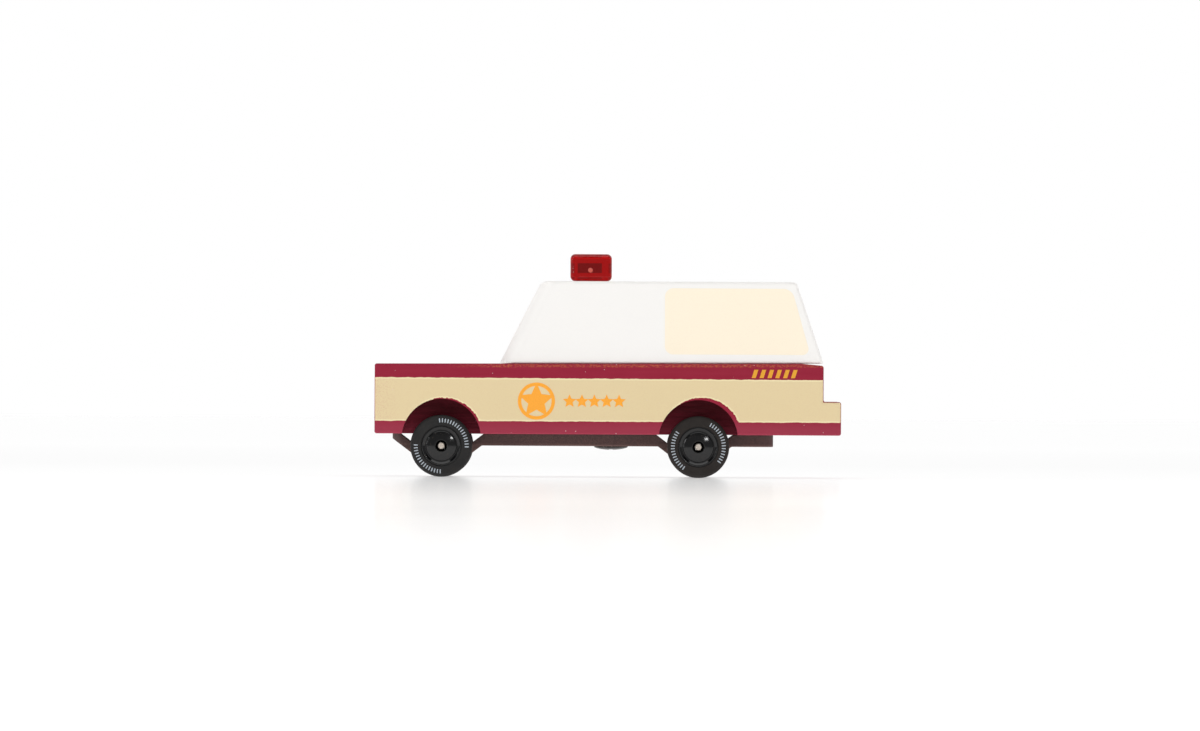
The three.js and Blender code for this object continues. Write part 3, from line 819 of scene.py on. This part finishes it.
def red_lens():
    lens_finish = Finish("red_lens", {"Transmission Weight": 1.0, "IOR": 1.36})
    haze = lens_finish.noise(size=1.2, detail=2)
    # Painted shade: a darker oblong in the middle of each end, standing in for dark surroundings seen
    # through the block
    x, y, z = lens_finish.split(lens_finish.place)
    (left, right), (bottom, top) = LENS_PAINTED_DARK
    blur = LENS_PAINTED_DARK_BLUR
    painted_dark = x.above(left, blur) * x.below(right, blur) * z.above(bottom, blur) * z.below(top, blur)
    painted_dark = painted_dark * abs(y).above(lens_high.y / MM - LENS_END_SKIN, LENS_END_BLUR)
    lens_finish.put(
        base_color=lens_finish.mix(painted_dark, LENS_RED, LENS_PAINTED_DARK_RED),
        roughness=0.02 + haze * 0.03,
    )
    absorption = lens_finish.node(
        "ShaderNodeVolumeAbsorption", sockets={"Color": LENS_DEPTH_COLOUR, "Density": LENS_DENSITY}
    )
    output = lens_finish.tree.nodes["Material Output"]
    lens_finish.fill(output.inputs["Volume"], absorption)
    return lens_finish


fit(lens, red_lens(), "red_lens", "truck_body", "siren_lens")
gate_place = Vector((lens_middle.x + GATE_ACROSS, lens_low.y, cabin_high.z + GATE_HEIGHT))
gate = rod("light_bar_gate", gate_place, GATE_RADIUS, GATE_STAND, ACROSS, facets=32)
apply_modifier(gate, "BEVEL", width=GATE_ROUNDING, segments=3, limit_method="ANGLE")
shade(gate)
frosted = Finish("frosted_gate", {"Transmission Weight": 0.3, "IOR": 1.49})
frost = frosted.noise(size=0.12, detail=3)
frosted.put(base_color=frosted.mix(frost, GATE_PINK, GATE_DARK), roughness=0.4 + frost * 0.3)
frosted.bump(frost, depth=0.01)
fit(gate, frosted, "red_lens", "truck_body")


# Chassis
# A black moulded strip lies under the body, dips below each axle, and carries both axles in long
# bearing barrels. Two pegs and one screw hold it. Its skin is matt and finely grained, and a painted
# highlight lightens its lower edges to brown, in streaks.
CHASSIS_WIDTH = 20.0 * MM
CHASSIS_THICKNESS = 2.5 * MM
CHASSIS_PLAN_CORNER = 2.5 * MM
CHASSIS_EDGE = 0.6 * MM
CHASSIS_SHARP = math.radians(32)
CHASSIS_NOSE = 10.35 * MM
DIP_THICKNESS = 2.2 * MM
DIP_REACH = [(5.6 * MM, 5.6 * MM), (5.6 * MM, 4.2 * MM)]
DIP_RAMP = math.tan(math.radians(37))
BARREL_RADIUS = 2.1 * MM
BORE_RADIUS = 0.85 * MM
UNDERSIDE_HIGHLIGHT = (6.9, 0.5)
CHASSIS_BLACK = colour(68, 53, 51)
CHASSIS_BROWN = colour(120, 94, 86)


def outline(name, points):
    """A chain of corners drawn one after the other, as the start of a piece. It stays in edit mode."""
    bpy.ops.object.select_all(action="DESELECT")
    bpy.ops.mesh.primitive_plane_add(size=MM, location=points[0])
    piece = settle(name)
    edit(piece)
    bpy.ops.mesh.select_mode(type="VERT")
    bpy.ops.mesh.select_all(action="SELECT")
    bpy.ops.mesh.merge(type="CENTER")
    for before, after in zip(points, points[1:]):
        bpy.ops.mesh.extrude_vertices_move(TRANSFORM_OT_translate={"value": after - before})
    bpy.ops.mesh.select_all(action="SELECT")
    return piece


def dips(floor, edge):
    """The corners of both dips from front to rear."""
    run = (edge - floor) / DIP_RAMP
    corners = []
    for axle, (ahead, behind) in zip(axle_places, DIP_REACH):
        corners += [(axle.x - ahead - run, edge), (axle.x - ahead, floor)]
        corners += [(axle.x + behind, floor), (axle.x + behind + run, edge)]
    return corners


chassis_low, chassis_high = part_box("chassis")
strip_bottom = body_low.z - CHASSIS_THICKNESS
dip_floor = chassis_low.z
dip_top = dip_floor + DIP_THICKNESS
nose_bottom = dip_floor + (CHASSIS_NOSE - DIP_REACH[0][0]) * DIP_RAMP
strip_corners = [
    (chassis_low.x, nose_bottom),
    *dips(dip_floor, strip_bottom)[1:],
    (chassis_high.x, strip_bottom),
    (chassis_high.x, body_low.z),
    *reversed(dips(dip_top, body_low.z)),
    (chassis_low.x, body_low.z),
]
chassis = outline("chassis_strip", [Vector((x, -CHASSIS_WIDTH / 2, z)) for x, z in strip_corners])
bpy.ops.mesh.edge_face_add()
bpy.ops.mesh.extrude_region_move(TRANSFORM_OT_translate={"value": (0, CHASSIS_WIDTH, 0)})
bpy.ops.mesh.select_all(action="SELECT")
bpy.ops.mesh.normals_make_consistent(inside=False)


def is_plan_corner(spot):
    at_end = min(abs(spot.x - chassis_low.x), abs(spot.x - chassis_high.x)) < TINY
    return at_end and abs(spot.y) > CHASSIS_WIDTH / 2 - TINY


select("EDGE", is_plan_corner)
bpy.ops.mesh.bevel(offset=CHASSIS_PLAN_CORNER, segments=8, affect="EDGES")
end_edit()
apply_modifier(
    chassis, "BEVEL", width=CHASSIS_EDGE, segments=4, limit_method="ANGLE", angle_limit=CHASSIS_SHARP
)
barrel_length = chassis_high.y - chassis_low.y
for axle in axle_places:
    combine(chassis, rod("barrel", axle, BARREL_RADIUS, barrel_length, ACROSS), "UNION")
for axle in axle_places:
    combine(chassis, rod("bore", axle, BORE_RADIUS, barrel_length + MM, ACROSS), "DIFFERENCE")
shade(chassis)


def chassis_skin():
    skin = Finish("chassis_skin", {"Specular IOR Level": 0.4})
    height = skin.split(skin.place)[2]
    grain = skin.noise(size=0.16, detail=3)
    streak = skin.noise(size=0.8, stretch=(8, 1, 1), detail=3)
    # Painted highlight: lighter brown in streaks along the lower edges, where they face the bright floor.
    edge_wear_and_highlight = height.below(*UNDERSIDE_HIGHLIGHT) * streak.above(0.42, 0.3) * 0.6
    black = skin.mix(grain.above(0.55, 0.3) * 0.4, CHASSIS_BLACK, CHASSIS_BROWN)
    skin.put(base_color=skin.mix(edge_wear_and_highlight, black, CHASSIS_BROWN), roughness=0.55 + grain * 0.25)
    skin.bump(grain, depth=0.03)
    return skin


fit(chassis, chassis_skin(), "chassis_plastic", "truck_body", "chassis")


# Chassis screw
# One blackened steel screw holds the strip to the wood. It has a low domed head with a cross recess,
# and a plain shank with a pointed tip.
SCREW_HEAD_RADIUS = 3.6 * MM
SCREW_HEAD_HEIGHT = 0.8 * MM
HEAD_RIM_RADIUS = 3.492 * MM
HEAD_RIM_HEIGHT = 0.32 * MM
HEAD_RIM_ROUNDING = 0.15 * MM
HEAD_TOP_RADIUS = 1.98 * MM
HEAD_TOP_ROUNDING = 1.2 * MM
SCREW_SHANK_RADIUS = 1.25 * MM
SCREW_TIP = 2.0 * MM
SCREW_TIP_ROUNDING = 0.2 * MM
DRIVE_LENGTH = 3.4 * MM
DRIVE_WIDTH = 0.7 * MM
DRIVE_DEPTH = 0.45 * MM
SCREW_BLACK = colour(38, 36, 35)
SCREW_BRIGHT = colour(86, 82, 77)


def turned(name, profile, facets=96):
    """A piece turned about the Y axis from corners of radius, depth and rounding."""
    corners = [Vector((radius, depth, 0)) for radius, depth, rounding in profile]
    piece = outline(name, corners)
    for corner, (radius, depth, rounding) in zip(corners, profile):
        if rounding:
            select("VERT", lambda spot: (spot - corner).length < TINY)
            bpy.ops.mesh.bevel(offset=rounding, segments=5, affect="VERTICES")
    bpy.ops.mesh.select_all(action="SELECT")
    bpy.ops.mesh.spin(steps=facets, angle=2 * math.pi, center=(0, 0, 0), axis=(0, 1, 0))
    bpy.ops.mesh.select_all(action="SELECT")
    bpy.ops.mesh.remove_doubles(threshold=TINY / 10)
    bpy.ops.mesh.normals_make_consistent(inside=False)
    end_edit()
    return piece


screw_low, screw_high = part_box("chassis_screw")
screw_place = Vector(((screw_low.x + screw_high.x) / 2, 0, screw_low.z + SCREW_HEAD_HEIGHT))
screw_length = screw_high.z - screw_place.z
screw = turned("screw_pattern", [
    (0, -screw_length, 0),
    (SCREW_SHANK_RADIUS, -screw_length + SCREW_TIP, SCREW_TIP_ROUNDING),
    (SCREW_SHANK_RADIUS, 0, 0),
    (SCREW_HEAD_RADIUS, 0, 0),
    (HEAD_RIM_RADIUS, HEAD_RIM_HEIGHT, HEAD_RIM_ROUNDING),
    (HEAD_TOP_RADIUS, SCREW_HEAD_HEIGHT, HEAD_TOP_ROUNDING),
    (0, SCREW_HEAD_HEIGHT, 0),
], facets=64)
head_top = Vector((0, SCREW_HEAD_HEIGHT, 0))
for size in ((DRIVE_LENGTH, DRIVE_DEPTH, DRIVE_WIDTH), (DRIVE_WIDTH, DRIVE_DEPTH, DRIVE_LENGTH)):
    reach = Vector(size) / 2
    combine(screw, block("drive", head_top - reach, head_top + reach), "DIFFERENCE")
chassis_screw = copy_of(screw, "screw_steel", screw_place, (-math.pi / 2, 0, 0))
bpy.data.objects.remove(screw)
shade(chassis_screw)
blackened = Finish("blackened_steel", {"Metallic": 0.85})
scuff = blackened.noise(size=0.3, detail=4)
blackened.put(
    base_color=blackened.mix(scuff.above(0.62, 0.2), SCREW_BLACK, SCREW_BRIGHT),
    roughness=0.32 + scuff * 0.2,
)
fit(chassis_screw, blackened, "screw_steel", "truck_body", "chassis_screw")


# Axles
# Two bright drawn steel rods with chamfered ends run in the chassis barrels.
# Each has a wheel pressed on either end, so both wheels turn with it.
AXLE_CHAMFER = 0.15 * MM
AXLE_ROUNDING = 0.05 * MM
STEEL = colour(206, 196, 185)
STEEL_DULL = colour(168, 158, 146)


def axle_steel():
    steel = Finish("axle_steel", {"Metallic": 1.0})
    drawn = steel.noise(size=0.12, stretch=(1, 10, 1), detail=3)
    steel.put(
        base_color=steel.mix(drawn.above(0.55, 0.4), STEEL, STEEL_DULL),
        roughness=0.22 + drawn * 0.25,
    )
    steel.bump(drawn, depth=0.004)
    return steel


bright_steel = axle_steel()
for end, axle in zip(("front", "rear"), axle_places):
    low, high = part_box(f"{end}_axle")
    radius = (high.z - low.z) / 2
    half = high.y
    pattern = turned("axle_pattern", [
        (0, -half, 0),
        (radius - AXLE_CHAMFER, -half, 0),
        (radius, -half + AXLE_CHAMFER, AXLE_ROUNDING),
        (radius, half - AXLE_CHAMFER, AXLE_ROUNDING),
        (radius - AXLE_CHAMFER, half, 0),
        (0, half, 0),
    ], facets=48)
    axle_rod = copy_of(pattern, f"{end}_axle_rod", axle)
    bpy.data.objects.remove(pattern)
    shade(axle_rod)
    fit(axle_rod, bright_steel, "axle_steel", f"{end}_wheelset", f"{end}_axle")


# Hubs
# Each hub is a glossy black moulded cup. Its face has a thin lip, a sloping wall with a groove at its
# foot, and a wide low dome with an eye for the axle. A rib round its barrel holds the tyre, and a long
# boss grips the axle.
TYRE_RADIUS = 6.5 * MM
TYRE_WIDTH = 5.6 * MM
TYRE_SEAT = 4.2 * MM
HUB_RADIUS = 4.1 * MM
HUB_WALL = 0.8 * MM
HUB_LIP = 0.25 * MM
HUB_RIB_HEIGHT = 0.4 * MM
HUB_RIB_WIDTH = 1.6 * MM
DISH_DEPTH = 0.65 * MM
DISH_SLOPE = 0.42 * MM
DISH_FALL = 0.27 * MM
DISH_GROOVE = 0.2 * MM
DOME_RISE = 0.6 * MM
DOME_REACH = 2.85 * MM
DOME_CURVE = 13.0 * MM
DOME_STEPS = 8
DOME_SHOULDER = [(3.2 * MM, 0.4 * MM), (3.0 * MM, 0.287 * MM)]
SHOULDER_ROUNDING = 0.03 * MM
LIP_ROUNDING = 0.06 * MM
HUB_WEB = 1.1 * MM
EYE_RADIUS = 1.24 * MM
EYE_DEPTH = 1.0 * MM
HUB_BORE = 0.8 * MM
BOSS_RADIUS = 1.7 * MM
BOSS_REACH = 0.3 * MM
SOFT_EDGE = 0.08 * MM
WHEEL_TURN = {"front": 0.0, "rear": math.radians(-33)}
HUB_BLACK = colour(8, 8, 9)
HUB_DUST = colour(96, 84, 72)

lip_inner = HUB_RADIUS - HUB_LIP
dish_edge = lip_inner - DISH_SLOPE
dome_edge = dish_edge - DISH_GROOVE
dome_top = DOME_RISE - DISH_DEPTH
cup_floor = -DISH_DEPTH - HUB_WEB
rib_front = -(TYRE_WIDTH - HUB_RIB_WIDTH) / 2
dome_radii = [DOME_REACH + (EYE_RADIUS - DOME_REACH) * i / DOME_STEPS for i in range(DOME_STEPS)]
dome_corners = [(radius, (radius ** 2 - EYE_RADIUS ** 2) / (2 * DOME_CURVE)) for radius in dome_radii]
hub = turned("hub_pattern", [
    (HUB_BORE, -TYRE_WIDTH - BOSS_REACH, 0),
    (BOSS_RADIUS, -TYRE_WIDTH - BOSS_REACH, SOFT_EDGE),
    (BOSS_RADIUS, cup_floor, 0),
    (HUB_RADIUS - HUB_WALL, cup_floor, 0),
    (HUB_RADIUS - HUB_WALL, -TYRE_WIDTH, SOFT_EDGE),
    (HUB_RADIUS, -TYRE_WIDTH, SOFT_EDGE),
    (HUB_RADIUS, rib_front - HUB_RIB_WIDTH, 0),
    (HUB_RADIUS + HUB_RIB_HEIGHT, rib_front - HUB_RIB_WIDTH, 0),
    (HUB_RADIUS + HUB_RIB_HEIGHT, rib_front, 0),
    (HUB_RADIUS, rib_front, 0),
    (HUB_RADIUS, 0, LIP_ROUNDING),
    (lip_inner, 0, LIP_ROUNDING),
    (dish_edge, -DISH_FALL, 0),
    (dish_edge, -DISH_DEPTH, 0),
    (dome_edge, -DISH_DEPTH, 0),
    *[(radius, dome_top - drop, SHOULDER_ROUNDING) for radius, drop in DOME_SHOULDER],
    *[(radius, dome_top - drop, 0) for radius, drop in dome_corners],
    (EYE_RADIUS, dome_top, SOFT_EDGE),
    (HUB_BORE, dome_top - EYE_DEPTH, 0),
    (HUB_BORE, -TYRE_WIDTH - BOSS_REACH, 0),
])
shade(hub)


def hub_gloss():
    gloss = Finish("hub_gloss", {"IOR": 1.42})
    flow = gloss.noise(size=1.5, detail=2)
    dust = gloss.noise(size=0.25, detail=1, start=(2, 1, 0)).above(0.74, 0.04)
    gloss.put(base_color=gloss.mix(dust * 0.5, HUB_BLACK, HUB_DUST), roughness=0.06 + flow * 0.08)
    gloss.bump(flow, depth=0.006)
    return gloss


def on_each_wheel(pattern, kind, finish, slot, replaced=None):
    """Puts a copy of a wheel piece on all four wheels, level with the tyres' outer walls."""
    for end, axle in zip(("front", "rear"), axle_places):
        for side, half_turn in (("left", math.pi), ("right", 0.0)):
            low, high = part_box(f"{end}_{side}_tyre")
            face = Vector((axle.x, low.y if side == "left" else high.y, axle.z))
            turn = (0, WHEEL_TURN[end], half_turn)
            piece = copy_of(pattern, f"{end}_{side}_{kind}", face, turn)
            nodes = [f"{end}_{side}_{replaced}"] if replaced else []
            fit(piece, finish, slot, f"{end}_wheelset", *nodes)
    bpy.data.objects.remove(pattern)


on_each_wheel(hub, "hub_moulding", hub_gloss(), "hub_plastic", "hub")


# Tyres
# Soft black rubber rings with rounded shoulders, stretched over the hubs, with a groove for each hub's rib.
# Two rows of short white marks are printed round the outer wall.
TYRE_SHOULDER = 0.8 * MM
TYRE_LIP = 0.25 * MM
FIT = 0.1 * MM
MARK_RADIUS = 5.36 * MM
MARK_SIZE = (0.22 * MM, 0.85 * MM)
MARK_STEP = math.radians(6.4)
MARK_CORNER = 0.08 * MM
MARK_ROWS = [(math.radians(-4), 16), (math.radians(182), 15)]
RUBBER = colour(23, 23, 23)
RUBBER_DUSTY = colour(44, 40, 37)
RUBBER_BROWN = colour(27, 21, 17)
MARK_WHITE = colour(168, 176, 184)

groove_front = rib_front + FIT
groove_back = rib_front - HUB_RIB_WIDTH - FIT
tyre = turned("tyre_pattern", [
    (TYRE_SEAT, groove_back, 0),
    (TYRE_SEAT, -TYRE_WIDTH, TYRE_LIP),
    (TYRE_RADIUS, -TYRE_WIDTH, TYRE_SHOULDER),
    (TYRE_RADIUS, 0, TYRE_SHOULDER),
    (TYRE_SEAT, 0, TYRE_LIP),
    (TYRE_SEAT, groove_front, 0),
    (TYRE_SEAT + HUB_RIB_HEIGHT, groove_front, 0),
    (TYRE_SEAT + HUB_RIB_HEIGHT, groove_back, 0),
    (TYRE_SEAT, groove_back, 0),
])
shade(tyre)

mark = panel("mark_pattern", (0, 0, MARK_RADIUS), MARK_SIZE, (-math.pi / 2, 0, 0))
round_corners(mark, MARK_CORNER)
thicken(mark)
marks = join("marks_pattern", [
    copy_of(mark, "mark", turn=(0, -(start + MARK_STEP * i), 0))
    for start, count in MARK_ROWS
    for i in range(count)
])
bpy.data.objects.remove(mark)


def tyre_rubber():
    rubber = Finish("tyre_rubber", {"Specular IOR Level": 0.35})
    pore = rubber.noise(size=0.14, detail=3)
    bloom = rubber.noise(size=3, detail=3)
    along = rubber.split(rubber.place)[0]
    black = rubber.mix(along.above(0, 1.0), RUBBER, RUBBER_BROWN)
    dusty = rubber.mix(bloom.above(0.6, 0.4) * 0.5, black, RUBBER_DUSTY)
    rubber.put(base_color=dusty, roughness=0.62 + pore * 0.25)
    rubber.bump(pore, depth=0.02)
    return rubber


on_each_wheel(tyre, "tyre_rubber", tyre_rubber(), "tyre_rubber", "tyre")
on_each_wheel(marks, "tyre_marks", ink("mark_ink", MARK_WHITE), "tyre_rubber")
